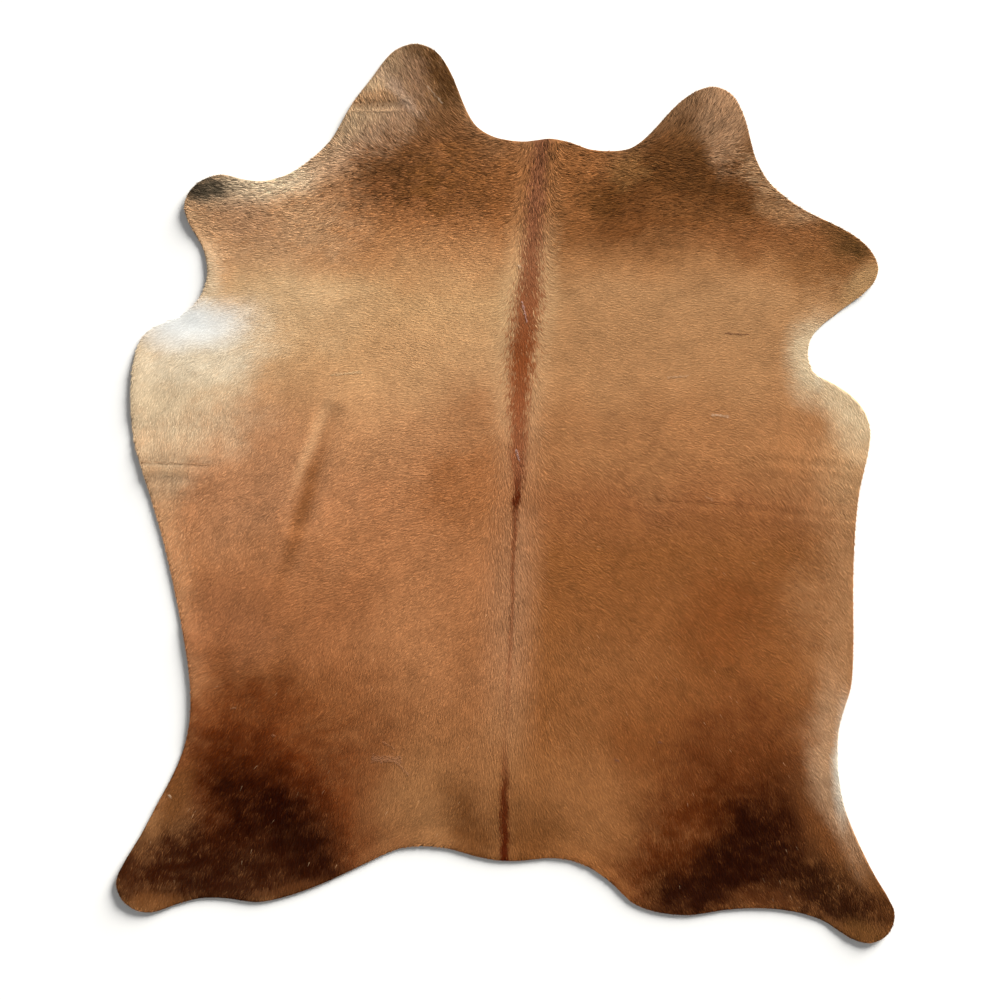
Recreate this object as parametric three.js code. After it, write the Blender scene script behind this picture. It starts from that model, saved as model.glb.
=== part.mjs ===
// Cowhide rug: one tanned cow skin with its hair on, spread flat with the hair side up.
// Millimetres. +Z is up, +Y runs along the back towards the neck, and -X is the animal's left side.
// The origin is on the floor, under the middle of the hide's box.

import * as THREE from 'three';

// Thickness of the sheet: the tanned skin, and the short coat that lies down on it.
const skinThickness = 2.2;
const coatDepth = 2.8;
const sheetThickness = skinThickness + coatDepth;

// The cut edge is worn round: it draws in this far above and below its widest line.
const edgeRounding = 1.6;
const edgeDrop = 0.9;

// The point from which the whole edge can be seen, and how finely the sheet is divided from there.
const centre = new THREE.Vector3(10, -15, 0);
const pointsPerSpan = 2;
const ringShares = [0.2, 0.38, 0.5, 0.58, 0.66, 0.78, 0.89, 0.965];

// The knife's line round the hide, clockwise from the middle of the neck, one list for each stretch.
const edge = {
  neckCut: [[50, 880], [110, 887], [166, 876], [208, 861], [262, 856], [312, 863]],
  rightCheek: [[356, 894], [422, 965], [464, 998], [518, 1016], [568, 994], [602, 926], [622, 848]],
  rightShoulder: [[656, 782], [738, 714], [808, 679], [872, 644]],
  rightForeleg: [[914, 604], [931, 560], [914, 518], [866, 478], [808, 435]],
  rightArmpit: [[766, 392], [756, 346], [771, 303], [808, 281]],
  rightBelly: [[863, 246], [899, 202], [912, 151], [904, 92], [885, 10], [874, -90], [869, -240]],
  rightFlank: [[869, -400], [862, -490], [836, -575], [830, -665], [842, -765], [872, -850]],
  rightHindleg: [[920, -950], [972, -1050], [952, -1103], [908, -1123], [858, -1109], [795, -1068], [716, -1044]],
  rightRump: [[630, -1036], [545, -1041], [462, -1053], [380, -1046], [318, -1023], [272, -980], [216, -938]],
  tailCut: [[160, -916], [105, -911], [45, -917], [-15, -917], [-80, -905], [-140, -888], [-208, -881]],
  leftRump: [[-268, -888], [-340, -919], [-445, -969], [-545, -1006], [-622, -1021], [-690, -1012], [-762, -1011]],
  leftHindleg: [[-830, -1029], [-882, -1046], [-924, -1040], [-960, -1010], [-972, -968], [-954, -924]],
  leftFlank: [[-912, -855], [-866, -768], [-820, -680], [-792, -590], [-787, -490], [-802, -370]],
  leftBelly: [[-824, -256], [-857, -110], [-902, 40], [-928, 132], [-936, 225], [-930, 325]],
  leftArmpit: [[-908, 390], [-866, 424], [-808, 448], [-766, 486], [-745, 545], [-756, 612]],
  leftForeleg: [[-793, 680], [-802, 718], [-786, 758], [-752, 785], [-707, 797], [-660, 786]],
  leftShoulder: [[-608, 781], [-555, 793], [-500, 825], [-435, 886]],
  leftCheek: [[-388, 966], [-330, 1044], [-280, 1104], [-224, 1123], [-172, 1102], [-134, 1046], [-104, 972]],
  leftNeck: [[-76, 922], [-30, 892]],
};

// Where the sheet leaves the floor: soft swells along a line, and the creases that sink into them.
// Height is in the middle of the line and reach is where it has died away. A crease has a minus height.
const swells = {
  leftSideSwell: { from: [-440, 230], to: [-530, -60], height: 6, reach: 130 },
  leftSideCrease: { from: [-425, 240], to: [-520, -20], height: -5, reach: 70 },
  leftBellyPinch: { from: [-930, 75], to: [-740, 62], height: 5, reach: 95 },
  rightBellyFold: { from: [420, -24], to: [880, -62], height: 3.5, reach: 90 },
  rightBellyRipple: { from: [660, 70], to: [905, 30], height: 4, reach: 85 },
  leftCheekWrinkle: { from: [-390, 966], to: [-250, 968], height: 5, reach: 90 },
  leftCheekTip: { from: [-240, 1090], to: [-215, 1120], height: 6, reach: 130 },
  rightCheekTip: { from: [525, 985], to: [520, 1020], height: 6, reach: 120 },
  leftForelegTip: { from: [-780, 730], to: [-805, 720], height: 8, reach: 130 },
  rightForelegTip: { from: [900, 560], to: [935, 560], height: 6, reach: 130 },
  leftArmpitLip: { from: [-748, 560], to: [-770, 490], height: 4, reach: 80 },
  leftShoulderLip: { from: [-934, 300], to: [-934, 220], height: 5, reach: 80 },
  leftFlankLip: { from: [-800, -380], to: [-790, -560], height: 5, reach: 90 },
  leftHindlegTip: { from: [-930, -980], to: [-960, -1000], height: 7, reach: 140 },
  rightHindlegTip: { from: [930, -1070], to: [945, -1100], height: 7, reach: 140 },
};

// Points of a smooth closed curve through the knife's line.
function rimPoints() {
  const marks = Object.values(edge).flat().map(([x, y]) => new THREE.Vector3(x, y, 0));
  const curve = new THREE.CatmullRomCurve3(marks, true, 'centripetal');
  return curve.getPoints(marks.length * pointsPerSpan).slice(0, -1);
}

// One in the middle, falling softly to nothing at the reach.
function softFall(distance, reach) {
  const share = Math.min(distance / reach, 1);
  return (1 - share * share) ** 2;
}

// How far the sheet's underside is off the floor at a point.
function liftAt(point) {
  const flat = new THREE.Vector3(point.x, point.y, 0);
  const nearest = new THREE.Vector3();
  let lift = 0;
  for (const { from, to, height, reach } of Object.values(swells)) {
    const line = new THREE.Line3(new THREE.Vector3(...from, 0), new THREE.Vector3(...to, 0));
    line.closestPointToPoint(flat, true, nearest);
    lift += height * softFall(flat.distanceTo(nearest), reach);
  }
  return Math.max(lift, 0);
}

// The sheet's section from the middle of the top, out round the edge and back along the underside:
// a share of the way to the rim, a step in from it, and a height above the underside.
function sheetSection() {
  const top = ringShares.map((share) => ({ share, inset: 0, height: sheetThickness }));
  const underside = ringShares.toReversed().map((share) => ({ share, inset: 0, height: 0 }));
  const wornEdge = [
    { share: 1, inset: edgeRounding, height: sheetThickness - edgeDrop },
    { share: 1, inset: 0, height: sheetThickness / 2 },
    { share: 1, inset: edgeRounding, height: 0 },
  ];
  return [...top, ...wornEdge, ...underside];
}

// The rim runs clockwise, so the inward side is to the right of its direction of travel.
function inwardAt(rim, index) {
  const before = rim.at(index - 1);
  const after = rim[(index + 1) % rim.length];
  const along = new THREE.Vector3().subVectors(after, before).normalize();
  return new THREE.Vector3(along.y, -along.x, 0);
}

function sheetPoint(rim, index, place) {
  const point = new THREE.Vector3().lerpVectors(centre, rim[index], place.share);
  point.addScaledVector(inwardAt(rim, index), place.inset);
  point.z = liftAt(point) + place.height;
  return point;
}

// Rings of points joined by strips, with a fan at the middle of the top and of the underside.
function sheetGeometry() {
  const rim = rimPoints();
  const section = sheetSection();
  const points = section.flatMap((place) => rim.map((_, index) => sheetPoint(rim, index, place)));
  const topMiddle = points.length;
  const lowMiddle = topMiddle + 1;
  points.push(new THREE.Vector3(centre.x, centre.y, liftAt(centre) + sheetThickness));
  points.push(new THREE.Vector3(centre.x, centre.y, liftAt(centre)));

  const faces = [];
  const lastRing = (section.length - 1) * rim.length;
  for (let index = 0; index < rim.length; index += 1) {
    const next = (index + 1) % rim.length;
    faces.push(topMiddle, next, index);
    faces.push(lowMiddle, lastRing + index, lastRing + next);
    for (let ring = 0; ring < lastRing; ring += rim.length) {
      const outer = ring + rim.length;
      faces.push(ring + index, ring + next, outer + next);
      faces.push(ring + index, outer + next, outer + index);
    }
  }
  const geometry = new THREE.BufferGeometry().setFromPoints(points);
  geometry.setIndex(faces);
  geometry.computeVertexNormals();
  return geometry;
}

function makeHide() {
  const coat = new THREE.MeshStandardMaterial({ color: 0xb27a48, roughness: 0.62, metalness: 0 });
  const hide = new THREE.Mesh(sheetGeometry(), coat);
  hide.name = 'hide';
  return hide;
}

const cowhideRug = new THREE.Group();
cowhideRug.add(makeHide());

export default cowhideRug;
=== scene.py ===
import math

import bpy
import numpy as np
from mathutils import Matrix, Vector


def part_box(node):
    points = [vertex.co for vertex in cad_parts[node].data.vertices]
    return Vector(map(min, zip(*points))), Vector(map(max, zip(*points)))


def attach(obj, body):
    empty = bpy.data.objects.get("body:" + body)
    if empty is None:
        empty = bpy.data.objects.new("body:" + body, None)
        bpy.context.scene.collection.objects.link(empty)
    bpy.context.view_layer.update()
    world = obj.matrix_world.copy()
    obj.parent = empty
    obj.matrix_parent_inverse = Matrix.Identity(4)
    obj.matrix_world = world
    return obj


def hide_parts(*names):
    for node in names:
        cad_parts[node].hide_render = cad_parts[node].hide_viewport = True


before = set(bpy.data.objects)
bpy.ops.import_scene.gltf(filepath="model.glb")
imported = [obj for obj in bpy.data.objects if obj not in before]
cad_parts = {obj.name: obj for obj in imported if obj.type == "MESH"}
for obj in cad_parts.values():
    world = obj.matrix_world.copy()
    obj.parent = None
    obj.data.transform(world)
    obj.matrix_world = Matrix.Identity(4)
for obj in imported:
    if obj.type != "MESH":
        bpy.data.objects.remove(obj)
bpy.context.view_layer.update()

# A cowhide rug, hair side up on a pale floor: a tanned skin, and the short coat lying on it in locks.
# Metres, +Z up, +Y from tail to neck, and x below nought is the animal's left side.

view = {
    "middle": (-0.0138, -0.0163),  # the spot that the camera looks straight down on
    "width": 2.5,                  # how much of the floor it takes in
    "lens": 90.0,                  # millimetres, on a sensor 36 wide
    "sensor": 36.0,
}


def makeCamera():
    # straight above the view's middle, as far off as its lens needs: width * lens / sensor
    lens = bpy.data.cameras.new("camera")
    lens.lens, lens.sensor_width = view["lens"], view["sensor"]
    camera = bpy.data.objects.new("camera", lens)
    camera.location = (*view["middle"], view["width"] * view["lens"] / view["sensor"])
    bpy.context.scene.collection.objects.link(camera)
    bpy.context.scene.camera = camera


makeCamera()
print("camera placed")

relief = {
    # The rim's curl: its height, how far in it comes as a share of the way to the middle, its side in degrees
    # from +x, and the cosines to that side between which it grows to full.
    "curl": {"height": 0.0032, "share": 0.06, "toward": 222.0, "facing": (-0.4, 0.3)},
    # Where the skin leaves the floor: a line's two ends, its height there and the reach where it has gone.
    # A crease sinks into what is round it, so its height is below nought.
    "swells": {
        "leftSideSwell": ((-0.440, 0.220), (-0.530, -0.080), 0.0058, 0.140),
        "leftSideCrease": ((-0.440, 0.190), (-0.522, -0.070), -0.0042, 0.050),
        "leftBellyPinch": ((-0.930, 0.075), (-0.740, 0.062), 0.0050, 0.095),
        "leftBellyCrease": ((-0.925, 0.078), (-0.720, 0.069), -0.0012, 0.020),
        "leftBellySecondCrease": ((-0.895, 0.030), (-0.750, 0.026), -0.0008, 0.016),
        "rightBellyFold": ((0.420, -0.024), (0.880, -0.062), 0.0035, 0.090),
        "foldLineInner": ((0.070, -0.006), (0.490, -0.028), -0.0009, 0.014),
        "foldLineOuter": ((0.490, -0.028), (0.870, -0.064), -0.0009, 0.015),
        "rightBellyRipple": ((0.660, 0.070), (0.905, 0.030), 0.0040, 0.085),
        "rightBellyCrease": ((0.645, 0.084), (0.860, 0.066), -0.0010, 0.016),
        "rightBellySecondCrease": ((0.800, 0.048), (0.882, 0.020), -0.0009, 0.014),
        "leftCheekWrinkle": ((-0.390, 0.966), (-0.250, 0.968), 0.0050, 0.090),
        "leftCheekCrease": ((-0.388, 0.966), (-0.245, 0.968), -0.0024, 0.013),
        "leftCheekTip": ((-0.240, 1.090), (-0.215, 1.120), 0.0060, 0.130),
        "rightCheekTip": ((0.525, 0.985), (0.520, 1.020), 0.0060, 0.120),
        "leftForelegTip": ((-0.780, 0.730), (-0.805, 0.720), 0.0080, 0.130),
        "rightForelegTip": ((0.900, 0.560), (0.935, 0.560), 0.0060, 0.130),
        "leftArmpitLip": ((-0.748, 0.560), (-0.770, 0.490), 0.0040, 0.080),
        "leftShoulderLip": ((-0.934, 0.300), (-0.934, 0.220), 0.0050, 0.080),
        "leftFlankLip": ((-0.800, -0.380), (-0.790, -0.560), 0.0050, 0.090),
        "leftHindlegTip": ((-0.930, -0.980), (-0.960, -1.000), 0.0070, 0.140),
        "rightHindlegTip": ((0.930, -1.070), (0.945, -1.100), 0.0070, 0.140),
    },
}


def softStep(low, high, value):
    # 0 below low, 1 above high, and t * t * (3 - 2 t) between them
    t = np.clip((value - low) / (high - low), 0, 1)
    return t * t * (3 - 2 * t)


def softNoise(x, y, cell, seed, layers=1):
    # a random height at each corner of a square net, joined by soft steps; each layer halves cell and height
    total = np.zeros_like(x)
    corners = 256   # each way, before the net repeats
    for layer in range(layers):
        net = np.random.default_rng(seed + layer).uniform(-1, 1, (corners, corners))
        across, along = x / cell + corners // 2, y / cell + corners // 2
        i, j = np.floor(across).astype(int), np.floor(along).astype(int)
        s, t = softStep(0, 1, across - i), softStep(0, 1, along - j)
        i, j = i % (corners - 1), j % (corners - 1)
        low = net[i, j] * (1 - s) + net[i + 1, j] * s
        high = net[i, j + 1] * (1 - s) + net[i + 1, j + 1] * s
        total += (low * (1 - t) + high * t) * 0.5 ** layer
        cell /= 2
    return total


def distanceToLine(x, y, start, end):
    # from each point to the nearest point of a straight line: start + t * (end - start), with t from 0 to 1
    (ax, ay), (bx, by) = start, end
    t = ((x - ax) * (bx - ax) + (y - ay) * (by - ay)) / ((bx - ax) ** 2 + (by - ay) ** 2)
    t = np.clip(t, 0, 1)
    return np.hypot(x - ax - t * (bx - ax), y - ay - t * (by - ay))


def edgeCurl(x, y):
    # the rim curls up on one side: height * soft step of the way to the rim * soft step of how it faces
    curl = relief["curl"]
    dx, dy = x - outline["middle"][0], y - outline["middle"][1]
    toward = math.radians(curl["toward"])
    facing = (dx * math.cos(toward) + dy * math.sin(toward)) / np.maximum(np.hypot(dx, dy), 0.01)
    return curl["height"] * softStep(1 - curl["share"], 1, rimShare(x, y)) * softStep(*curl["facing"], facing)


def liftAt(x, y):
    # the edge's curl and, over the swells, height * (1 - (distance / reach) ** 2) ** 2; never below the floor
    lift = edgeCurl(x, y)
    for start, end, height, reach in relief["swells"].values():
        share = np.minimum(distanceToLine(x, y, start, end) / reach, 1)
        lift += height * (1 - share * share) ** 2
    return np.maximum(lift, 0)


outline = {
    "middle": (0.010, -0.015),   # the whole edge can be seen from here
    "pointsPerSpan": 14,
    "grain": 1e-5,               # corners closer than this are one corner
}


def rimCorners(node):
    # the corners that have both an upward and a downward face: the widest line round the solid
    mesh = node.data
    points = np.empty(len(mesh.vertices) * 3)
    mesh.vertices.foreach_get("co", points)
    points = points.reshape(-1, 3)
    corners = np.empty(len(mesh.loops), int)
    mesh.loops.foreach_get("vertex_index", corners)
    cells = np.round(points / outline["grain"]).astype(int)
    _, first, same = np.unique(cells, axis=0, return_index=True, return_inverse=True)
    faces = same.reshape(-1)[corners].reshape(-1, 3)
    a, b, c = (points[first][faces[:, k], :2] for k in range(3))
    upward = (b - a)[:, 0] * (c - a)[:, 1] - (b - a)[:, 1] * (c - a)[:, 0] > 0
    both = np.intersect1d(faces[upward], faces[~upward])
    return points[first][both, :2]


def smoothRim(points):
    # a closed cubic through the points, its slope at each point weighted by the spans on both sides
    before, after, last = np.roll(points, 1, 0), np.roll(points, -1, 0), np.roll(points, -2, 0)
    span = np.linalg.norm(after - points, axis=1)[:, None]
    spanBefore, spanAfter = np.roll(span, 1, 0), np.roll(span, -1, 0)
    steep, nextSteep = (points - before) / spanBefore, (after - points) / span
    lastSteep = (last - after) / spanAfter
    slope = (steep * span + nextSteep * spanBefore) / (spanBefore + span)
    nextSlope = (nextSteep * spanAfter + lastSteep * span) / (span + spanAfter)
    t = np.linspace(0, 1, outline["pointsPerSpan"], endpoint=False)[None, :, None]
    leave, arrive = (slope * span)[:, None], (nextSlope * span)[:, None]
    curve = points[:, None] * (2 * t**3 - 3 * t**2 + 1) + after[:, None] * (3 * t**2 - 2 * t**3)
    curve += leave * (t**3 - 2 * t**2 + t) + arrive * (t**3 - t**2)
    return curve.reshape(-1, 2)


def readOutline():
    # how far the rim is from the middle in each direction, as two matching lists
    corners = rimCorners(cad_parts["hide"]) - outline["middle"]
    rim = smoothRim(corners[np.argsort(np.arctan2(corners[:, 1], corners[:, 0]))])
    turn = np.arctan2(rim[:, 1], rim[:, 0])
    order = np.argsort(turn)
    return turn[order], np.hypot(rim[:, 0], rim[:, 1])[order]


rimTurns, rimReaches = readOutline()
print("outline read from the frame:", len(rimTurns), "points")


def rimReach(turn):
    # how far the rim is from the middle in this direction, straight between the points read
    return np.interp(turn, rimTurns, rimReaches, period=2 * math.pi)


def rimShare(x, y):
    # distance from the middle / the rim's distance that way: 0 in the middle of the hide, 1 on its rim
    dx, dy = x - outline["middle"][0], y - outline["middle"][1]
    return np.hypot(dx, dy) / rimReach(np.arctan2(dy, dx))


def paint(red, green, blue):
    # screen values from 0 to 255 as linear light: ((v + 0.055) / 1.055) ** 2.4, or v / 12.92 when very dark
    screen = np.array([red, green, blue]) / 255
    return np.where(screen > 0.04045, ((screen + 0.055) / 1.055) ** 2.4, screen / 12.92)


def patch(at, reach, turn, colour, most, mixed=0.10, soft=0.5):
    # an oval of colour: its middle, how far along and across it has faded to half, and its turn in degrees;
    # most is how much of it there is in the middle, and mixed how much that differs from lock to lock
    return dict(at=at, reach=reach, turn=turn, colour=colour, most=most, mixed=mixed, soft=soft)


coat = {
    # down each side of the back, from the tail end to the neck end
    "left": [
        (-0.85, (152, 104, 64)), (-0.62, (151, 100, 61)), (-0.42, (159, 103, 63)), (-0.22, (170, 113, 72)),
        (0.00, (178, 122, 81)), (0.15, (186, 134, 92)), (0.30, (194, 148, 104)), (0.50, (199, 156, 110)),
        (0.58, (187, 136, 91)), (0.68, (167, 113, 70)), (0.76, (140, 90, 53)), (0.88, (134, 89, 54)),
        (1.00, (138, 100, 66)),
    ],
    "right": [
        (-0.85, (148, 96, 54)), (-0.62, (140, 84, 42)), (-0.40, (148, 92, 49)), (-0.14, (150, 94, 50)),
        (-0.02, (160, 103, 62)), (0.08, (174, 120, 76)), (0.18, (177, 124, 80)), (0.28, (182, 133, 89)),
        (0.50, (185, 138, 94)), (0.58, (171, 120, 76)), (0.66, (126, 78, 41)), (0.76, (110, 67, 33)),
        (0.88, (116, 75, 42)), (1.00, (150, 112, 80)),
    ],
    "patches": {
        "backShadeLeft": patch((-0.080, 0.040), (0.120, 0.165), 0, (158, 100, 58), 0.82, soft=0.8),
        "flankShadeLeft": patch((-0.500, -0.330), (0.220, 0.110), 10, (148, 92, 56), 0.55, soft=0.8),
        "backPaleLeft": patch((-0.220, -0.360), (0.120, 0.170), 0, (174, 119, 78), 0.65, soft=0.8),
        "bellyRoseLeft": patch((-0.640, 0.020), (0.200, 0.160), 0, (178, 128, 92), 0.60, soft=0.8),
        # beside the crease down the left side: partly paler and darker hair, partly painted highlight on the
        # wall that faces the sun and painted shade on the wall that faces away
        "troughPaintedHighlightLeft": patch((-0.476, 0.140), (0.105, 0.014), 67, (212, 168, 124), 0.50, soft=0.9),
        "troughPaintedShadeLeft": patch((-0.497, -0.020), (0.160, 0.020), 74, (136, 82, 42), 0.80, soft=0.9),
        "bellyEdgeLeft": patch((-0.890, 0.060), (0.190, 0.070), 84, (172, 131, 95), 0.88, soft=0.9),
        "shoulderPaleLeft": patch((-0.560, 0.470), (0.170, 0.100), 0, (207, 173, 132), 0.75, soft=0.8),
        "flankRoseLeft": patch((-0.700, -0.330), (0.130, 0.100), 60, (146, 94, 62), 0.60, soft=0.8),
        "flankBrownLeft": patch((-0.600, -0.590), (0.270, 0.150), 12, (116, 62, 27), 0.82, soft=0.8),
        "rustLeft": patch((-0.560, -0.780), (0.300, 0.195), -34, (92, 38, 8), 0.97, 0.14, 0.75),
        "rumpBrownLeft": patch((-0.355, -0.790), (0.085, 0.165), -20, (108, 54, 22), 0.66, soft=0.85),
        "hindlegLeft": patch((-0.825, -0.918), (0.195, 0.088), 14, (50, 16, 2), 0.95, 0.18, 0.8),
        "hindlegDarkLeft": patch((-0.819, -0.916), (0.090, 0.034), 14, (44, 14, 2), 0.85, 0.25, 0.7),
        "haunchLeft": patch((-0.585, -0.812), (0.175, 0.105), -48, (34, 6, 0), 1.0, 0.14, 0.85),
        "haunchLeftTail": patch((-0.482, -0.905), (0.102, 0.058), -42, (34, 8, 1), 0.96, 0.14, 0.8),
        "haunchLeftSole": patch((-0.682, -0.966), (0.175, 0.078), 0, (42, 12, 2), 0.93, 0.14, 0.8),
        "hindlegEdgeLeft": patch((-0.822, -0.755), (0.078, 0.033), 62, (110, 67, 33), 0.80, 0.18, 0.7),
        "hindlegSoleLeft": patch((-0.868, -1.020), (0.080, 0.026), -3, (108, 65, 32), 0.80, 0.20),
        "hindlegTipLeft": patch((-0.958, -0.965), (0.040, 0.060), 0, (58, 26, 8), 0.85, 0.20),
        "rumpEdgeLeft": patch((-0.520, -0.985), (0.070, 0.018), 16, (96, 56, 28), 0.60, 0.20),
        "rumpTanLeft": patch((-0.210, -0.800), (0.100, 0.120), 0, (154, 108, 68), 0.60, soft=0.8),
        "rumpSmudgeLeft": patch((-0.083, -0.850), (0.064, 0.120), 12, (104, 62, 30), 0.92, 0.12, 0.8),
        "rumpSmudgeRight": patch((0.074, -0.840), (0.074, 0.120), -12, (104, 60, 26), 0.90, 0.12, 0.8),
        "rumpTanRight": patch((0.170, -0.710), (0.120, 0.150), 0, (156, 104, 62), 0.75, soft=0.8),
        "backTanRight": patch((0.220, -0.440), (0.140, 0.090), 0, (156, 101, 58), 0.60, soft=0.8),
        "flankShadeRight": patch((0.540, -0.330), (0.110, 0.120), 0, (128, 70, 29), 0.60, soft=0.8),
        "flankBrownRight": patch((0.600, -0.660), (0.250, 0.140), 0, (120, 66, 31), 0.80, soft=0.8),
        "rustRight": patch((0.525, -0.862), (0.290, 0.180), 38, (88, 38, 10), 0.96, 0.16, 0.75),
        "hindlegRight": patch((0.806, -0.988), (0.205, 0.080), -27, (40, 12, 2), 0.96, 0.18, 0.75),
        "haunchRight": patch((0.600, -0.875), (0.205, 0.100), 47, (36, 8, 1), 1.0, 0.14, 0.85),
        "haunchRightRump": patch((0.450, -1.000), (0.092, 0.056), 25, (36, 9, 2), 0.94, 0.16, 0.75),
        "haunchRightGap": patch((0.650, -1.005), (0.070, 0.024), 0, (84, 42, 18), 0.35, 0.20, 0.7),
        "hindlegTanRight": patch((0.790, -0.800), (0.125, 0.045), -68, (114, 67, 34), 0.80, 0.20, 0.7),
        "hindlegPaleRight": patch((0.838, -0.790), (0.130, 0.034), -68, (178, 140, 108), 0.90, 0.15, 0.7),
        "hindlegSoleRight": patch((0.890, -1.092), (0.055, 0.024), -25, (112, 72, 36), 0.75, 0.20),
        "hindlegTipRight": patch((0.955, -1.050), (0.045, 0.045), 0, (70, 37, 14), 0.80, 0.20),
        "flankPaleRight": patch((0.818, -0.590), (0.150, 0.046), 88, (194, 156, 120), 0.82, soft=0.8),
        "flankWhiteRight": patch((0.842, -0.655), (0.110, 0.020), 88, (238, 238, 224), 1.0, 0.06, 0.8),
        "flankEdgeRight": patch((0.858, -0.180), (0.360, 0.108), 90, (180, 131, 89), 0.85, soft=0.9),
        "bellyEdgeRight": patch((0.880, 0.080), (0.110, 0.070), 90, (192, 152, 110), 0.75, soft=0.9),
        "shoulderPatchLeft": patch((-0.600, 0.690), (0.240, 0.130), 6, (192, 150, 111), 0.95, 0.22, 0.55),
        "shoulderGoldLeft": patch((-0.600, 0.782), (0.165, 0.050), 12, (220, 196, 164), 0.92, soft=0.7),
        "neckDarkLeft": patch((-0.258, 0.800), (0.096, 0.056), -8, (88, 55, 27), 0.74, 0.60, 0.7),
        "neckBrownLeft": patch((-0.110, 0.780), (0.110, 0.070), 0, (132, 84, 42), 0.60, 0.55, 0.7),
        "neckFleckLeft": patch((-0.370, 0.742), (0.055, 0.042), 30, (112, 72, 44), 0.22, 0.60, 0.7),
        "neckPaleLeft": patch((-0.395, 0.785), (0.062, 0.046), 40, (172, 126, 88), 0.60, 0.40, 0.7),
        "neckUpperLeft": patch((-0.190, 0.925), (0.070, 0.042), -20, (116, 78, 46), 0.36, 0.50, 0.7),
        "cheekLeft": patch((-0.340, 0.960), (0.150, 0.095), 50, (182, 146, 115), 0.95, 0.22, 0.5),
        "cheekPaleLeft": patch((-0.345, 1.000), (0.150, 0.052), 55, (200, 170, 134), 0.85, 0.14, 0.7),
        "cheekMiddleLeft": patch((-0.230, 1.040), (0.080, 0.060), -60, (140, 106, 80), 0.80, 0.50, 0.6),
        "cheekTipLeft": patch((-0.195, 1.110), (0.060, 0.026), 0, (112, 80, 48), 0.70, 0.45),
        "cheekLobeLeft": patch((-0.330, 0.985), (0.070, 0.020), 10, (174, 130, 90), 0.75, 0.15, 0.6),
        "cheekFoldLeft": patch((-0.265, 1.000), (0.075, 0.014), -47, (190, 158, 132), 0.75, 0.25, 0.7),
        "cheekDarkLeft": patch((-0.152, 1.052), (0.094, 0.036), -66, (92, 60, 30), 0.93, 0.36, 0.6),
        "forelegMauveLeft": patch((-0.655, 0.688), (0.092, 0.046), -30, (154, 112, 84), 0.40, 0.45, 0.7),
        "forelegDarkLeft": patch((-0.750, 0.766), (0.072, 0.050), -8, (66, 58, 46), 0.98, 0.30, 0.7),
        "forelegEdgeLeft": patch((-0.768, 0.620), (0.120, 0.036), -65, (184, 148, 112), 0.72, soft=0.7),
        "armpitEdgeLeft": patch((-0.748, 0.535), (0.075, 0.040), 90, (196, 174, 144), 0.85, soft=0.7),
        "neckOchreRight": patch((0.150, 0.762), (0.075, 0.118), 0, (158, 103, 59), 0.88, 0.20, 0.7),
        "neckOchreLeft": patch((0.020, 0.760), (0.060, 0.110), 0, (152, 97, 54), 0.70, 0.20, 0.7),
        "neckDarkRight": patch((0.425, 0.800), (0.108, 0.048), -14, (96, 61, 30), 0.60, 0.60, 0.6),
        "neckBlotchRight": patch((0.240, 0.738), (0.050, 0.040), 0, (104, 64, 28), 0.60, 0.50, 0.7),
        "neckSpotRight": patch((0.580, 0.722), (0.052, 0.040), -30, (96, 60, 28), 0.55, 0.60, 0.7),
        "neckLightRight": patch((0.300, 0.800), (0.050, 0.036), 0, (150, 106, 62), 0.60, 0.55, 0.7),
        "neckMidRight": patch((0.470, 0.700), (0.110, 0.036), -10, (132, 86, 48), 0.55, 0.50, 0.7),
        "cheekRight": patch((0.545, 0.930), (0.110, 0.075), 90, (172, 133, 100), 0.96, 0.24, 0.45),
        "cheekEdgeRight": patch((0.440, 0.900), (0.060, 0.032), -55, (112, 76, 42), 0.35, 0.45, 0.7),
        "shoulderTanRight": patch((0.700, 0.748), (0.130, 0.032), -38, (180, 141, 104), 0.90, 0.50, 0.7),
        "shoulderLightRight": patch((0.668, 0.708), (0.058, 0.028), -36, (172, 128, 88), 0.80, 0.30, 0.7),
        "forelegRight": patch((0.810, 0.580), (0.120, 0.090), -15, (142, 92, 50), 0.85, 0.20, 0.6),
        "forelegOliveRight": patch((0.838, 0.628), (0.064, 0.034), -34, (82, 57, 26), 0.88, 0.36, 0.65),
        "forelegTipRight": patch((0.895, 0.515), (0.075, 0.036), 50, (190, 150, 104), 0.85, soft=0.7),
        "neckLowRight": patch((0.640, 0.640), (0.160, 0.045), 0, (150, 98, 58), 0.70, 0.30, 0.7),
        "armpitCreamLeft": patch((-0.860, 0.260), (0.200, 0.160), 10, (206, 184, 152), 0.92, soft=0.85),
        "armpitPaleLeft": patch((-0.770, 0.370), (0.145, 0.080), 10, (220, 204, 178), 0.85, soft=0.8),
        "armpitWhiteLeft": patch((-0.796, 0.428), (0.112, 0.046), 4, (240, 241, 239), 1.0, 0.04, 0.85),
        "armpitCreamRight": patch((0.772, 0.335), (0.084, 0.058), 90, (222, 202, 168), 0.88, soft=0.85),
        "armpitWhiteRight": patch((0.782, 0.330), (0.050, 0.012), 90, (240, 230, 208), 0.90, soft=0.8),
        "shoulderCreamRight": patch((0.870, 0.215), (0.150, 0.060), -52, (220, 196, 160), 0.88, soft=0.85),
    },
    "patchWander": 0.32,        # how far a patch's edge strays, as a share of its narrower reach
    "wanderCell": 0.12,         # how wide one such stray is
    "tuftCell": 0.016,          # how long a tuft is from neck to tail
    "tuftNarrow": 0.6,          # that length as a share of its width
    "tuftBreaks": 1.3,          # how much tufts break up a patch's edge
    "lockBreaks": 0.9,          # and how much single locks do
    "sideBlend": (-0.04, 0.10),  # from the spine, where the left's colours end and the right's are full
    "sideWander": 0.02,
    "backWander": 0.03,
    "mottles": [(0.06, 0.09, 51), (0.07, 0.020, 61)],  # how strong, how wide, seed
    "rimPale": (212, 178, 138),
    "rimFrom": 0.90,            # the share of the way to the rim where it starts to pale
    "rimRagged": 0.02,          # how far single locks break that up
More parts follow.
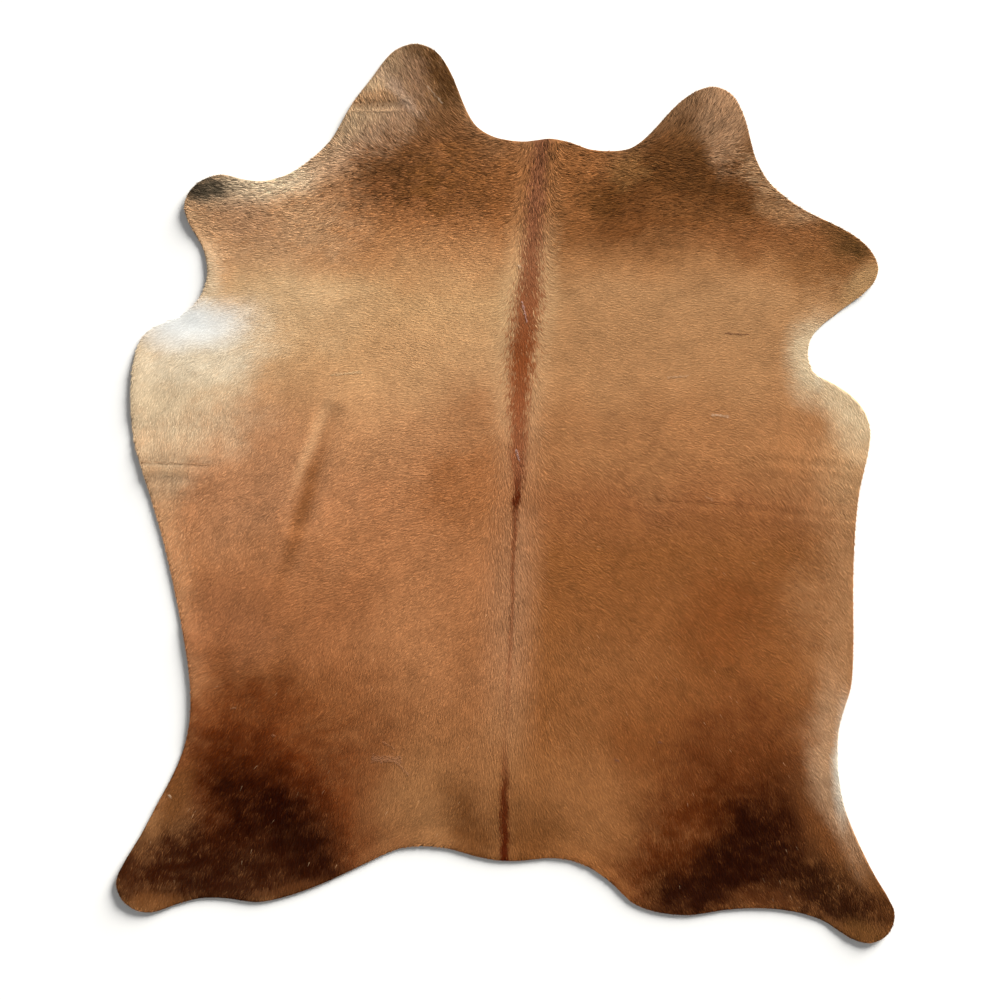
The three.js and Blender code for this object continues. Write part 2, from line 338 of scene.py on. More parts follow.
    # how much paler the coat is at the very rim, from the tail end to the neck end
    "rimPaleMost": [(-0.90, 0.0), (-0.55, 0.10), (-0.10, 0.25), (0.40, 0.16), (0.70, 0.10), (1.05, 0.05)],
    # how much one lock differs from the next, from the tail end to the neck end
    "lockContrast": [
        (-0.90, 0.13), (-0.60, 0.15), (0.00, 0.18), (0.25, 0.11), (0.55, 0.11), (0.68, 0.34), (0.80, 0.46),
        (0.95, 0.36),
    ],
    "toneMost": 1.8,            # a lock's tone counts no further out than this
    "whiteFrom": (0.40, 0.75),  # the blue where hair starts to count as white, and does in full
    "whiteCalm": 0.75,          # how much less white locks differ and stand up
    "whiteHairs": 3.10,         # a lock whose tone is further out than this is bleached
    "whiteHairsMost": 0.25,
}

spine = {
    # from the tail end: y, x, half width of the stripe, how dark it is, how pale its left and right sides are
    "line": [
        (-0.930, -0.004, 0.0120, 1.00, 0.00, 0.00), (-0.740, -0.001, 0.0115, 0.95, 0.00, 0.10),
        (-0.660, 0.000, 0.0090, 0.55, 0.15, 0.40), (-0.600, 0.003, 0.0070, 0.15, 0.45, 0.55),
        (-0.400, 0.011, 0.0060, 0.52, 0.55, 0.62), (-0.200, 0.018, 0.0060, 0.75, 0.50, 0.66),
        (-0.050, 0.022, 0.0070, 0.80, 0.30, 0.55), (-0.020, 0.025, 0.0110, 1.00, 0.15, 0.25),
        (0.010, 0.028, 0.0140, 1.00, 0.15, 0.25), (0.060, 0.030, 0.0200, 0.84, 0.30, 0.35),
        (0.180, 0.032, 0.0240, 0.92, 0.45, 0.45), (0.340, 0.040, 0.0380, 0.96, 0.40, 0.40),
        (0.480, 0.055, 0.0400, 0.92, 0.55, 0.40), (0.570, 0.063, 0.0290, 0.88, 0.40, 0.45),
        (0.700, 0.072, 0.0260, 0.80, 0.10, 0.10), (0.890, 0.091, 0.0230, 0.70, 0.00, 0.00),
    ],
    "stripe": [
        (-0.93, (74, 22, 3)), (-0.72, (90, 38, 12)), (-0.60, (140, 86, 54)), (-0.10, (122, 62, 32)),
        (0.00, (90, 32, 8)), (0.08, (142, 82, 52)), (0.35, (134, 67, 30)), (0.55, (140, 80, 50)),
        (0.74, (124, 76, 54)), (0.90, (118, 72, 50)),
    ],
    "pale": [
        (-0.70, (160, 114, 74)), (-0.40, (177, 130, 94)), (0.00, (180, 132, 96)), (0.50, (208, 174, 130)),
    ],
    "paleReach": [(-0.15, 0.090), (0.10, 0.055)],
    "paleRagged": 0.008,
    "waver": 0.003,           # how far the stripe strays to each side, in waves as long as the cell
    "waverCell": 0.05,
    "edge": (0.40, 1.30),     # where the stripe starts to fade and where it has gone, in half widths
    "ragged": 0.34,           # how far single locks break that edge, in half widths
}


def spineAt(y):
    # x of the spine at this y, straight between the line's points
    return np.interp(y, [row[0] for row in spine["line"]], [row[1] for row in spine["line"]])


def blend(under, over, share):
    # under + (over - under) * share, for each row of colours
    return under + (over - under) * share[:, None]


def alongBack(stops, y):
    # straight blends between colours at named places along y
    places = [place for place, _ in stops]
    colours = np.array([paint(*colour) for _, colour in stops])
    return np.stack([np.interp(y, places, colours[:, k]) for k in range(3)], 1)


def patchShare(x, y, strayX, strayY, chance, spot):
    # 1 in the middle, a half at the reach and 0 beyond it by the softness; chance moves it lock by lock
    turn = math.radians(spot["turn"])
    stray = coat["patchWander"] * min(spot["reach"])
    dx, dy = x + stray * strayX - spot["at"][0], y + stray * strayY - spot["at"][1]
    along = (dx * math.cos(turn) + dy * math.sin(turn)) / spot["reach"][0]
    across = (dy * math.cos(turn) - dx * math.sin(turn)) / spot["reach"][1]
    share = 1 - softStep(1 - spot["soft"], 1 + spot["soft"], np.hypot(along, across))
    return spot["most"] * np.clip(share + spot["mixed"] * chance * np.sqrt(share), 0, 1)


def calmness(colour):
    # 1 - white calm * soft step of the blue: 1 for brown hair and least for white
    return 1 - coat["whiteCalm"] * softStep(*coat["whiteFrom"], colour[:, 2])


def coatColour(x, y, share, chance, tone):
    # the two sides' blends, then the paler rim, the patches and the stripe laid over in turn, all times
    # 1 + mottle + contrast * the lock's tone
    strayX, strayY = softNoise(x, y, coat["wanderCell"], 11, 3), softNoise(x, y, coat["wanderCell"], 31, 3)
    tufts = softNoise(coat["tuftNarrow"] * x, y, coat["tuftCell"], 41, 3)
    tufts = coat["lockBreaks"] * chance + coat["tuftBreaks"] * tufts
    side = softStep(*coat["sideBlend"], x + coat["sideWander"] * strayX - spineAt(y))
    slow = y + coat["backWander"] * strayY
    colour = blend(alongBack(coat["left"], slow), alongBack(coat["right"], slow), side)
    rim = softStep(coat["rimFrom"], 1.0, share + coat["rimRagged"] * chance)
    rim = rim * np.interp(y, *np.array(coat["rimPaleMost"]).T)
    colour = blend(colour, paint(*coat["rimPale"]), rim)
    for spot in coat["patches"].values():
        colour = blend(colour, paint(*spot["colour"]), patchShare(x, y, strayX, strayY, tufts, spot))
    colour = withStripe(colour, x, y, chance)
    contrast = np.interp(y, *np.array(coat["lockContrast"]).T) * calmness(colour)
    mottle = sum(most * softNoise(x, y, cell, seed, 2) for most, cell, seed in coat["mottles"])
    lock = 1 + mottle + contrast * np.clip(tone, -coat["toneMost"], coat["toneMost"])
    bleached = (tone > coat["whiteHairs"]) * coat["whiteHairsMost"]
    return np.clip(blend(colour * lock[:, None], paint(*coat["rimPale"]), bleached), 0, 1)


def withStripe(colour, x, y, chance):
    # the pale sides, fading out from the stripe, then the stripe itself, its edge broken by single locks
    ys, middles, widths, darks, paleLefts, paleRights = np.array(spine["line"]).T
    width, dark = np.interp(y, ys, widths), np.interp(y, ys, darks)
    off = x - np.interp(y, ys, middles) + spine["waver"] * softNoise(x, y, spine["waverCell"], 71, 2)
    pale = np.where(off < 0, np.interp(y, ys, paleLefts), np.interp(y, ys, paleRights))
    off = np.abs(off)
    reach = np.interp(y, *np.array(spine["paleReach"]).T)
    halo = pale * (1 - softStep(0, 1, (off - width + spine["paleRagged"] * chance) / reach))
    colour = blend(colour, alongBack(spine["pale"], y), halo)
    core = 1 - softStep(*spine["edge"], off / width + spine["ragged"] * chance)
    return blend(colour, alongBack(spine["stripe"], y), core * dark)


def makeMesh(name, points, faces, smooth=True):
    # a new object at the origin from whole arrays; each row of faces lists its corners' numbers
    mesh = bpy.data.meshes.new(name)
    mesh.vertices.add(len(points))
    mesh.vertices.foreach_set("co", points.astype(np.float32).ravel())
    mesh.loops.add(faces.size)
    mesh.loops.foreach_set("vertex_index", faces.ravel())
    mesh.polygons.add(len(faces))
    mesh.polygons.foreach_set("loop_start", np.arange(0, faces.size, faces.shape[1]))
    mesh.polygons.foreach_set("use_smooth", np.full(len(faces), smooth))
    mesh.update(calc_edges=True)
    piece = bpy.data.objects.new(name, mesh)
    bpy.context.scene.collection.objects.link(piece)
    return piece


def addColours(piece, colours):
    # one colour for each point, which the coat's materials read
    layer = piece.data.color_attributes.new("coatColour", "FLOAT_COLOR", "POINT")
    solid = np.column_stack([colours, np.ones(len(colours))])
    layer.data.foreach_set("color", solid.astype(np.float32).ravel())


def addMap(piece, places):
    # one place for each corner of each face
    layer = piece.data.uv_layers.new(name="OFBake")
    layer.data.foreach_set("uv", places.astype(np.float32).ravel())


skin = {
    "cells": 200,             # across the sheet each way
    "thickness": 0.0032,      # the tanned skin and the roots of the coat
    "edgeRounding": 0.0010,   # how far the cut edge draws in above and below
    "wornFrom": 0.998,        # the share of the way to the rim where the top's edge is rubbed lower
    "worn": 0.5,              # and by how much of the rounding
    "unevenness": 0.0003,
    "unevenCell": 0.07,
    "rootShade": 0.86,        # the colours that show between the locks are the coat's times this
    "rootGrainCell": 0.006,   # how wide the colours' broken edges are there
    "rootToneCell": 0.02,     # and the changes of tone
    "mapMargin": 0.02,
    "flat": (1.944, 2.246),   # laid out: across, long, and the area inside the outline
    "flatArea": 3.19,
}


def topOfSkin(x, y):
    # lift + thickness + unevenness * soft noise
    return liftAt(x, y) + skin["thickness"] + skin["unevenness"] * softNoise(x, y, skin["unevenCell"], 81, 2)


def discGrid(cells):
    # a square net bent onto a disc: each square ring becomes a round one of the same share
    u, v = np.meshgrid(np.linspace(-1, 1, cells + 1), np.linspace(-1, 1, cells + 1), indexing="ij")
    u, v = u.ravel(), v.ravel()
    share = np.maximum(np.abs(u), np.abs(v))
    wide = np.abs(u) >= np.abs(v)
    lean = np.where(wide, v, u) / np.maximum(share, 1e-9) * math.pi / 4
    sideways = np.where(u >= 0, lean, math.pi - lean)
    upright = np.where(v >= 0, math.pi / 2 - lean, lean - math.pi / 2)
    return share, np.where(wide, sideways, upright)


def gridFaces(cells):
    # squares of the net, each turning from +u to +v
    net = np.arange((cells + 1) ** 2).reshape(cells + 1, cells + 1)
    return np.stack([net[:-1, :-1], net[1:, :-1], net[1:, 1:], net[:-1, 1:]], -1).reshape(-1, 4)


def gridBorder(cells):
    # the net's outer corners in order, turning from +u to +v
    net = np.arange((cells + 1) ** 2).reshape(cells + 1, cells + 1)
    return np.concatenate([net[:-1, 0], net[-1, :-1], net[:0:-1, -1], net[0, :0:-1]])


def fromMiddle(reach, turn):
    # middle + reach * (cosine, sine) of the direction
    return outline["middle"][0] + reach * np.cos(turn), outline["middle"][1] + reach * np.sin(turn)


def makeSkin():
    # the same net above and below, joined round the rim through a third ring at the widest line
    share, turn = discGrid(skin["cells"])
    reach = rimReach(turn)
    border = gridBorder(skin["cells"])
    x, y = fromMiddle(share * (reach - skin["edgeRounding"]), turn)
    rimX, rimY = fromMiddle(reach[border], turn[border])
    worn = skin["worn"] * skin["edgeRounding"] * softStep(skin["wornFrom"], 1.0, share)
    top = np.column_stack([x, y, topOfSkin(x, y) - worn])
    low = np.column_stack([x, y, liftAt(x, y)])
    rim = np.column_stack([rimX, rimY, liftAt(rimX, rimY) + skin["thickness"] / 2])
    points = np.concatenate([top, low, rim])

    count, ring = len(x), len(border)
    squares = gridFaces(skin["cells"])
    after = np.roll(border, -1)
    middle = 2 * count + np.arange(ring)
    middleAfter = np.roll(middle, -1)
    upperBand = np.stack([middle, middleAfter, after, border], 1)
    lowerBand = np.stack([border + count, after + count, middleAfter, middle], 1)
    faces = np.concatenate([squares, upperBand, squares[:, ::-1] + count, lowerBand])
    piece = makeMesh("hideSkin", points, faces)

    px, py = points[:, 0], points[:, 1]
    shares = np.concatenate([share, share, np.ones(ring)])
    grain, tone = softNoise(px, py, skin["rootGrainCell"], 91), softNoise(px, py, skin["rootToneCell"], 95)
    colours = coatColour(px, py, shares, grain, tone)
    addColours(piece, colours * skin["rootShade"])
    upperFaces = len(squares) + ring
    piece.data.polygons.foreach_set("material_index", (np.arange(len(faces)) >= upperFaces).astype(int))
    addMap(piece, skinMap(points, faces, upperFaces))
    return piece


def skinMap(points, faces, upperFaces):
    # the hair side fills the left half of the map and the flesh side the right half
    low, high = points[:, :2].min(0), points[:, :2].max(0)
    margin = skin["mapMargin"]
    places = (margin + (1 - 2 * margin) * (points[:, :2] - low) / (high - low))[faces]
    places[:, :, 0] *= 0.5
    places[upperFaces:, :, 0] += 0.5
    return places.reshape(-1, 2)


hair = {
    "seed": 5,
    "chanceMost": 2,          # how far out a lock's chance counts
    "spacing": 0.00411,       # between the roots of neighbouring locks
    "length": 0.0145,
    "lengthSpread": (0.75, 1.25),  # the least and the most of it, from lock to lock
    "cheekLength": 0.0050,    # how much longer it is on the cheeks
    "cheekFrom": (0.8, 1.0),  # the y where that starts, and where it is in full
    "width": 0.0023,
    "widthSpread": (0.7, 1.25),
    "ridge": 0.0006,          # a lock's back stands this far above the skin
    "ridgeSpread": (0.6, 1.3),
    "backAt": 0.3,            # how far along the lock its back is
    "tipLift": 0.0011,        # and its tip this far
    "tipSpread": (0.3, 1.4),
    # how much of that ridge and lift there is, from the tail end to the neck end
    "standing": [(-0.90, 0.7), (-0.50, 0.9), (0.00, 1.0), (0.25, 0.60), (0.55, 0.60), (0.72, 1.1)],
    "rootDepth": 0.0003,      # how far the roots are sunk in the skin
    "rootsWithin": 0.998,     # how far out the roots go, as a share of the way to the rim
    "overEdge": 0.0012,       # how far the locks hang past the cut edge
    "shortest": 0.004,
    "stray": 11.0,            # degrees, from one lock to the next
    "drift": 16.0,            # degrees, in slow waves as wide as the cell
    "driftCell": 0.22,
    "bands": ("hairNeck", "hairShoulders", "hairFlanks", "hairHaunches"),
    # how steeply the coat runs to the tail for each step away from the spine, from the tail end
    "fall": [(-1.1, 2.3), (-0.75, 1.8), (-0.35, 1.0), (0.05, 0.55), (0.45, 0.16), (0.78, 0.02), (0.95, 0.0)],
    "bellyFall": 1.6,         # how much steeper it is beside the belly
    "cheekRise": 2.8,         # how steeply it runs up the cheeks
    # where those two are along the hide, and how far out from the spine they start and are in full
    "belly": {"y": 0.12, "spread": 0.24, "out": (0.50, 0.88)},
    "cheek": {"y": (0.82, 0.96), "out": (0.12, 0.34)},
    "spineFall": 1.8,         # how steeply it runs beside the spine
    "spineReach": [(-0.5, 0.14), (0.3, 0.065)],
    "spineNear": (0.15, 1.0),  # beside the spine in full, and no longer, as shares of that reach
    "spineTurn": 0.8,         # how much of its outward run the coat loses there
    "parting": 0.03,          # how far from the spine the coat takes to turn outward
}


def hairFlow(x, y):
    # outward from the spine, and towards the tail by the fall; along the spine itself it runs straight back:
    # its direction is the arc tangent of -fall / outward, turned by the drift
    off = x - spineAt(y)
    away = np.abs(off)
    flank, jaw = hair["belly"], hair["cheek"]
    belly = np.exp(-(((y - flank["y"]) / flank["spread"]) ** 2)) * softStep(*flank["out"], away)
    cheek = softStep(*jaw["y"], y) * softStep(*jaw["out"], away)
    fall = np.interp(y, *np.array(hair["fall"]).T) + hair["bellyFall"] * belly - hair["cheekRise"] * cheek
    reach = np.interp(y, *np.array(hair["spineReach"]).T)
    near = 1 - softStep(*hair["spineNear"], away / reach)
    outward = off / np.hypot(off, hair["parting"]) * (1 - hair["spineTurn"] * near)
    turn = np.arctan2(-(fall * (1 - near) + hair["spineFall"] * near), outward)
    return turn + math.radians(hair["drift"]) * softNoise(x, y, hair["driftCell"], 101, 2)


def hairRoots(rng):
    # one root at a random place in each square of a net over the whole hide, kept where it is inside the rim
    low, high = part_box("hide")
    across = np.arange(low.x, high.x, hair["spacing"])
    along = np.arange(low.y, high.y, hair["spacing"])
    x, y = (net.ravel() for net in np.meshgrid(across, along))
    x = x + rng.uniform(0, hair["spacing"], len(x))
    y = y + rng.uniform(0, hair["spacing"], len(y))
    inside = rimShare(x, y) < hair["rootsWithin"]
    return x[inside], y[inside]


def lockCorners(x, y, turn, length, width, ridge, tipLift, base):
    # a spike: left root, right root, a raised back, and a tip lying along the coat
    dx, dy = np.cos(turn), np.sin(turn)
    backX, backY = x + hair["backAt"] * dx * length, y + hair["backAt"] * dy * length
    tipX, tipY = x + dx * length, y + dy * length
    root = topOfSkin(x, y) + base
    return [
        np.column_stack([x - dy * width / 2, y + dx * width / 2, root]),
        np.column_stack([x + dy * width / 2, y - dx * width / 2, root]),
        np.column_stack([backX, backY, topOfSkin(backX, backY) + ridge]),
        np.column_stack([tipX, tipY, topOfSkin(*pulledIn(tipX, tipY)) + tipLift]),
    ]


def overEdge(x, y, turn, length):
    # how much too far each tip reaches: its distance from the middle - the rim's - what may hang over
    tipX, tipY = x + np.cos(turn) * length, y + np.sin(turn) * length
    dx, dy = tipX - outline["middle"][0], tipY - outline["middle"][1]
    return np.maximum(np.hypot(dx, dy) - rimReach(np.arctan2(dy, dx)) - hair["overEdge"], 0)


def pulledIn(x, y):
    # places past the rim brought straight in to it: middle + (place - middle) / share of the way
    share = np.maximum(rimShare(x, y), 1)
    middleX, middleY = outline["middle"]
    return middleX + (x - middleX) / share, middleY + (y - middleY) / share


def makeLocks(name, corners, colours):
    # four triangles to each spike, turned over where its back is under the line from roots to tip, so that
    # all face out: there (right - left) x (back - left) . (tip - left) is above nought
    points = np.stack(corners, 1).reshape(-1, 3)
    lock = np.array([[0, 2, 3], [2, 1, 3], [0, 1, 2], [0, 3, 1]])
    faces = 4 * np.arange(len(colours))[:, None, None] + lock
    left, right, back, tip = corners
    sunk = np.sum(np.cross(right - left, back - left) * (tip - left), 1) > 0
    faces = np.where(sunk[:, None, None], faces[:, :, ::-1], faces).reshape(-1, 3)
    piece = makeMesh(name, points, faces, smooth=False)
    addColours(piece, np.repeat(colours, 4, 0))
    low, high = points[:, :2].min(0), points[:, :2].max(0)
    addMap(piece, ((points[:, :2] - low) / (high - low))[faces].reshape(-1, 2))
    print(name, "made:", len(faces), "faces")
    return piece


def makeHair():
    # locks over the whole hide, shared out in bands from the neck to the tail
    rng = np.random.default_rng(hair["seed"])
    x, y = hairRoots(rng)
    count = len(x)
    turn = hairFlow(x, y) + math.radians(hair["stray"]) * rng.normal(0, 1, count)
    length = hair["length"] + hair["cheekLength"] * softStep(*hair["cheekFrom"], y)
    length = length * rng.uniform(*hair["lengthSpread"], count)
    length = np.maximum(length - overEdge(x, y, turn, length), hair["shortest"])
    width = hair["width"] * rng.uniform(*hair["widthSpread"], count)
    chance, tone = rng.normal(0, 1, count), rng.normal(0, 1, count)
    chance = np.clip(chance, -hair["chanceMost"], hair["chanceMost"])
    colours = coatColour(x, y, rimShare(x, y), chance, tone)
    standing = calmness(colours) * np.interp(y, *np.array(hair["standing"]).T)
    ridge = hair["ridge"] * rng.uniform(*hair["ridgeSpread"], count) * standing
    tipLift = hair["tipLift"] * rng.uniform(*hair["tipSpread"], count) * standing
    corners = lockCorners(x, y, turn, length, width, ridge, tipLift, -hair["rootDepth"])
    bands = zip(hair["bands"], np.array_split(np.argsort(-y), len(hair["bands"])))
    return [makeLocks(name, [part[rows] for part in corners], colours[rows]) for name, rows in bands]


def mark(start, end, width, colour, most=0.7, lie=None):
    # a scar or line, some of the lines being painted shade and painted highlight beside creases: its ends,
    # width, colour, how much of that there is, and which way its hairs lie in degrees, if not along it
    return dict(start=start, end=end, width=width, colour=colour, most=most, lie=lie)


scarsAndCreaseShade = {
    "seed": 9,
    "hairEvery": 0.0032,      # along the thinnest mark
    "widerStep": 0.001,       # each such step of width adds as many again
    "scatter": 0.4,           # how far the hairs stray to each side, as a share of the mark's width
    "mostSpread": (0.6, 1),   # the least and the most of its colour, from hair to hair
    "length": 0.0070,
    "lengthSpread": (0.6, 1.2),
    "shortest": 0.002,
    "hairWidth": 0.0014,
    "base": 0.0005,           # the hairs lie on the coat, this far above the skin
    "ridge": 0.0010,
    "tipLift": 0.0012,
    "stray": 18.0,            # degrees, from one hair to the next
    "marks": {
        "cheekScratch": mark((-0.196, 1.019), (-0.160, 0.977), 0.0016, (214, 190, 160), 0.6),
        "cheekFold": mark((-0.302, 1.024), (-0.238, 0.974), 0.0080, (200, 174, 148), 0.35),
        # along the cheek's crease: painted shade in its bottom and painted highlight on the wall below it
        # that faces the sun
        "cheekWrinklePaintedShade": mark((-0.384, 0.967), (-0.250, 0.969), 0.0026, (92, 56, 28), 0.85),
        "cheekWrinklePaintedHighlight": mark((-0.385, 0.956), (-0.255, 0.955), 0.0040, (206, 170, 136), 0.35),
        # along the pinch at the left belly: painted shade in the crease and painted highlight on its side
        # that faces the sun
        "leftPinchPaintedShade": mark((-0.912, 0.079), (-0.740, 0.071), 0.0040, (146, 102, 66), 0.40),
        "leftPinchPaintedHighlight": mark((-0.905, 0.054), (-0.790, 0.049), 0.0160, (204, 164, 122), 0.35, 90),
        "leftArc": mark((-0.438, 0.296), (-0.362, 0.304), 0.0035, (216, 184, 142), 0.7),
        "shoulderScratch": mark((0.546, 0.401), (0.606, 0.397), 0.0016, (96, 58, 44), 0.7),
        "rightScarUpper": mark((0.404, 0.289), (0.456, 0.294), 0.0030, (206, 168, 132), 0.6),
        "rightScarLower": mark((0.514, 0.197), (0.556, 0.192), 0.0030, (208, 180, 152), 0.7),
        "rightScarSmall": mark((0.498, -0.008), (0.514, -0.014), 0.0030, (190, 148, 112), 0.6),
        "spineScarUpper": mark((0.041, 0.481), (0.053, 0.430), 0.0022, (188, 160, 156), 0.55),
        "spineScarLower": mark((0.026, 0.111), (0.034, 0.082), 0.0024, (186, 160, 154), 0.55),
        "spineFleck": mark((0.030, 0.572), (0.037, 0.566), 0.0040, (222, 190, 156), 0.7),
        "rumpScarUpper": mark((-0.308, -0.620), (-0.280, -0.636), 0.0025, (168, 118, 84), 0.45),
        "rumpScar": mark((-0.336, -0.662), (-0.262, -0.665), 0.0110, (180, 130, 98), 0.45),
        "rumpScarTail": mark((-0.274, -0.668), (-0.244, -0.702), 0.0025, (172, 122, 90), 0.45),
        "flankFleckLeft": mark((-0.690, -0.536), (-0.678, -0.536), 0.0030, (172, 126, 92), 0.6),
        "haunchFleckLeft": mark((-0.584, -0.600), (-0.578, -0.606), 0.0030, (154, 104, 74), 0.7),
        "hindlegFleckLeft": mark((-0.842, -0.750), (-0.836, -0.758), 0.0040, (200, 170, 140), 0.8),
        "moleUpper": mark((0.380, -0.620), (0.388, -0.622), 0.0045, (94, 68, 60), 0.6),
        "moleLower": mark((0.270, -0.664), (0.282, -0.668), 0.0055, (96, 70, 62), 0.6),
    },
}


def makeScarsAndCreaseShade():
    # fine hairs strewn along each mark and across its width, their colour part the mark's and part the coat's
    rng = np.random.default_rng(scarsAndCreaseShade["seed"])
    rows, colours = [], []
    for each in scarsAndCreaseShade["marks"].values():
        (ax, ay), (bx, by) = each["start"], each["end"]
        run, along = math.hypot(bx - ax, by - ay), math.atan2(by - ay, bx - ax)
        count = int(run / scarsAndCreaseShade["hairEvery"] * (1 + each["width"] / scarsAndCreaseShade["widerStep"]))
        t, across = rng.uniform(0, 1, count), each["width"] * rng.normal(0, scarsAndCreaseShade["scatter"], count)
        x = ax + t * (bx - ax) - across * math.sin(along)
        y = ay + t * (by - ay) + across * math.cos(along)
        lie = along if each["lie"] is None else math.radians(each["lie"])
        rows.append(np.column_stack([x, y, lie + math.radians(scarsAndCreaseShade["stray"]) * rng.normal(0, 1, count)]))
        under = coatColour(x, y, rimShare(x, y), rng.normal(0, 1, count), rng.normal(0, 1, count))
        most = each["most"] * rng.uniform(*scarsAndCreaseShade["mostSpread"], count)
        colours.append(blend(under, paint(*each["colour"]), most))
    x, y, turn = np.concatenate(rows).T
    length = scarsAndCreaseShade["length"] * rng.uniform(*scarsAndCreaseShade["lengthSpread"], len(x))
    length = np.maximum(length - overEdge(x, y, turn, length), scarsAndCreaseShade["shortest"])
    corners = lockCorners(
        x, y, turn, length, scarsAndCreaseShade["hairWidth"], scarsAndCreaseShade["ridge"], scarsAndCreaseShade["tipLift"], scarsAndCreaseShade["base"]
    )
    return makeLocks("scarAndCreaseShadeHairs", corners, np.concatenate(colours))


class Wire:
    # one socket's value; a sum on it adds the Math node that works it out
    def __init__(self, shop, socket):
        self.shop, self.socket = shop, socket

    def math(self, kind, first, second):
        return self.shop.node("ShaderNodeMath", {"operation": kind}, {0: first, 1: second})

    def __add__(self, other):
        return self.math("ADD", self, other)

    def __mul__(self, other):
        return self.math("MULTIPLY", self, other)

    __radd__ = __add__
    __rmul__ = __mul__


class Shop:
    # a new material's nodes, with one way to add any of them
    def __init__(self, name):
        self.material = bpy.data.materials.new(name)
        self.material.use_nodes = True
        self.tree = self.material.node_tree
        self.surface = self.tree.nodes["Principled BSDF"]

    def node(self, kind, settings=None, inputs=None, output=0):
        # adds a node, sets it up and feeds it, for one of its outputs
        made = self.tree.nodes.new(kind)
        for name, value in (settings or {}).items():
            setattr(made, name, value)
        for name, value in (inputs or {}).items():
            self.feed(made.inputs[name], value)
        return Wire(self, made.outputs[output])

    def feed(self, socket, value):
        # a link from another node, or else a plain value
        if isinstance(value, Wire):
            self.tree.links.new(value.socket, socket)
        else:
            socket.default_value = value

    def finish(self, **sockets):
        # feeds the surface's sockets, named with underscores for spaces
        for name, value in sockets.items():
            self.feed(self.surface.inputs[name.replace("_", " ")], value)
        return self.material


def scaleColour(shop, colour, amount):
    # a colour made lighter or darker by a number
    return shop.node("ShaderNodeVectorMath", {"operation": "SCALE"}, {0: colour, "Scale": amount})


def noiseOver(shop, scale, detail):
    # soft noise over the object's own coordinates, with so many waves to the metre
    place = shop.node("ShaderNodeTexCoord", output=3)
    return shop.node("ShaderNodeTexNoise", inputs={"Vector": place, "Scale": scale, "Detail": detail})


looks = {
    # scales in waves to the metre; shade and roughness as the least and how much more the noise adds
    "hair": {
        "grainScale": 900, "cloudScale": 14, "shade": (0.86, 0.28), "roughness": (0.54, 0.18),
        "specular": 0.03, "tint": (255, 198, 144),
    },
    "roots": {
        "grainScale": 700, "shade": (0.80, 0.30), "roughness": (0.68, 0.12), "specular": 0.05,
        "bumps": {"Strength": 0.6, "Distance": 0.0008},
    },
    "suede": {
        "grainScale": 520, "cloudScale": 7, "shade": (0.88, 0.24), "roughness": (0.86, 0.1),
        "specular": 0.2, "sheen": 0.25, "bumps": {"Strength": 0.5, "Distance": 0.0006},
        "dark": (188, 166, 138), "pale": (222, 206, 180),
    },
}


def raised(span, noise):
    # the least + how much more * noise
    return span[0] + span[1] * noise


def hairMaterial():
    # the coat's colour with a fine grain over it, and a faint warm gloss that differs from place to place
    look, shop = looks["hair"], Shop("shortHairCoat")
    colour = shop.node("ShaderNodeAttribute", {"attribute_name": "coatColour"})
    grain = noiseOver(shop, look["grainScale"], 2)
    cloud = noiseOver(shop, look["cloudScale"], 3)
    colour = scaleColour(shop, colour, raised(look["shade"], grain))
    return shop.finish(
        Base_Color=colour, Roughness=raised(look["roughness"], cloud), Specular_IOR_Level=look["specular"],
        Specular_Tint=(*paint(*look["tint"]), 1),
    )


def rootsMaterial():
    # what shows between the locks: the same colours, matt and finely pitted
    look, shop = looks["roots"], Shop("coatRoots")
    colour = shop.node("ShaderNodeAttribute", {"attribute_name": "coatColour"})
    grain = noiseOver(shop, look["grainScale"], 3)
    pits = shop.node("ShaderNodeBump", inputs={"Height": grain, **look["bumps"]})
    colour = scaleColour(shop, colour, raised(look["shade"], grain))
    return shop.finish(
        Base_Color=colour, Roughness=raised(look["roughness"], grain), Specular_IOR_Level=look["specular"],
        Normal=pits,
    )


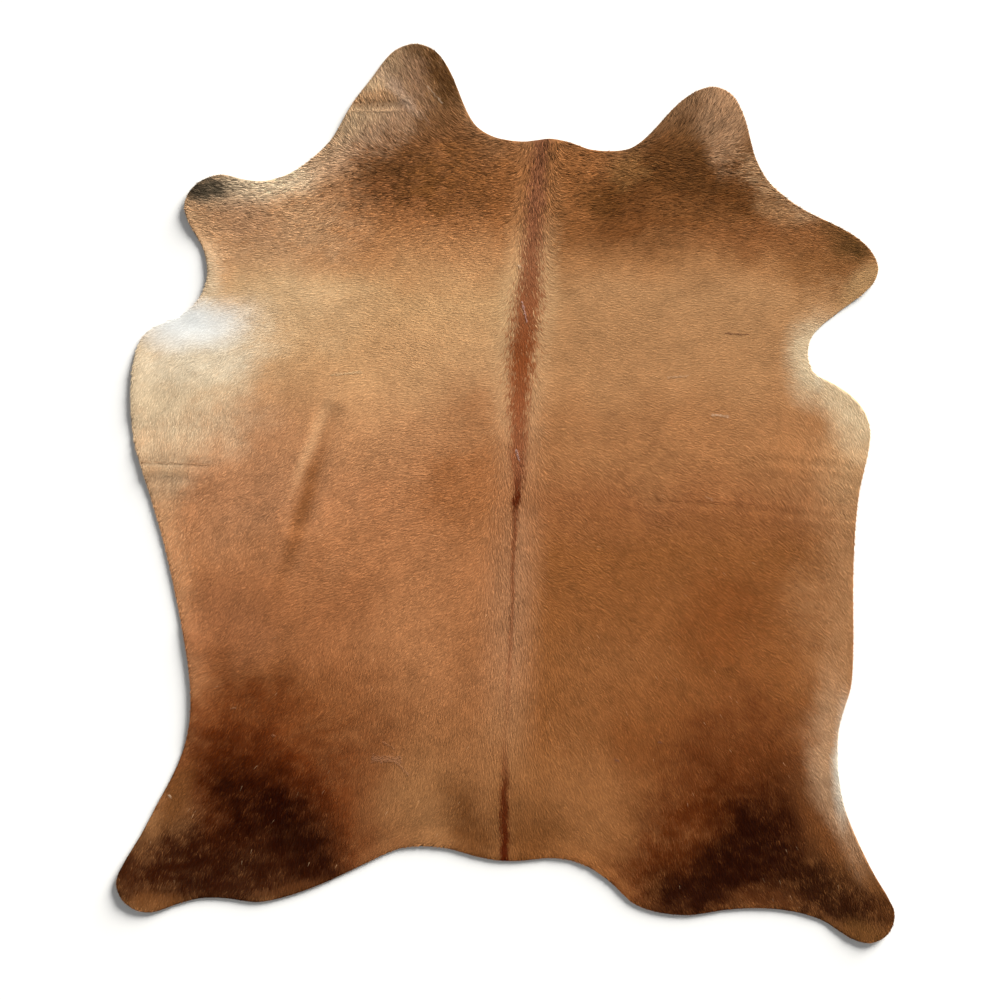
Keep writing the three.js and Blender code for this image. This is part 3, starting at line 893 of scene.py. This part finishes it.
def suedeMaterial():
    # the flesh side: buff suede with a short nap, cloudy from the tanning
    look, shop = looks["suede"], Shop("suedeFleshSide")
    cloud = noiseOver(shop, look["cloudScale"], 4)
    nap = noiseOver(shop, look["grainScale"], 3)
    darkBuff, paleBuff = (*paint(*look["dark"]), 1), (*paint(*look["pale"]), 1)
    colour = shop.node("ShaderNodeMix", {"data_type": "RGBA"}, {0: cloud, 6: darkBuff, 7: paleBuff}, output=2)
    colour = scaleColour(shop, colour, raised(look["shade"], nap))
    fuzz = shop.node("ShaderNodeBump", inputs={"Height": nap, **look["bumps"]})
    return shop.finish(
        Base_Color=colour, Roughness=raised(look["roughness"], nap), Specular_IOR_Level=look["specular"],
        Sheen_Weight=look["sheen"], Normal=fuzz,
    )


hideSkin = makeSkin()
for material in (rootsMaterial(), suedeMaterial()):
    hideSkin.data.materials.append(material)
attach(hideSkin, "root")
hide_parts("hide")
print("skin made:", len(hideSkin.data.polygons), "faces")

coatPieces = [*makeHair(), makeScarsAndCreaseShade()]
shortHair = hairMaterial()
for piece in coatPieces:
    piece.data.materials.append(shortHair)
    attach(piece, "root")
print("coat laid on the skin")


studio = {
    "sunStrength": 9.8,
    "sunColour": (1.0, 0.98, 0.93),
    "sunSpread": 32.0,      # degrees across, for soft shadows
    "sunHeight": 18.5,      # degrees above the floor
    "sunSide": 39.0,        # degrees round from the neck towards the animal's right
    "skyStrength": 0.26,
    "floorSize": 60.0,
    "floorDrop": 0.0004,    # keeps the floor out of the skin's flat underside
    "floorColour": (0.87, 0.87, 0.87, 1),
}


def makeFloor():
    # one plain square, half its size each way and just under the skin
    half, level = studio["floorSize"] / 2, -studio["floorDrop"]
    corners = [[-half, -half, level], [half, -half, level], [half, half, level], [-half, half, level]]
    floor = makeMesh("floor", np.array(corners), np.array([[0, 1, 2, 3]]))
    plain = Shop("paleFloor").finish(
        Base_Color=studio["floorColour"], Roughness=0.9, Specular_IOR_Level=0.1
    )
    floor.data.materials.append(plain)


def makeLights():
    # one wide lamp over the neck on the animal's right, and an even white sky
    lamp = bpy.data.lights.new("sun", "SUN")
    lamp.energy, lamp.angle = studio["sunStrength"], math.radians(studio["sunSpread"])
    lamp.color = studio["sunColour"]
    sun = bpy.data.objects.new("sun", lamp)
    sun.rotation_euler = (math.radians(90 - studio["sunHeight"]), 0, math.radians(180 - studio["sunSide"]))
    bpy.context.scene.collection.objects.link(sun)
    world = bpy.data.worlds.new("studio")
    world.use_nodes = True
    sky = world.node_tree.nodes["Background"].inputs
    sky["Color"].default_value, sky["Strength"].default_value = (1, 1, 1, 1), studio["skyStrength"]
    bpy.context.scene.world = world
    bpy.context.scene.view_settings.view_transform = "Standard"


makeFloor()
makeLights()
print("floor and lights placed")
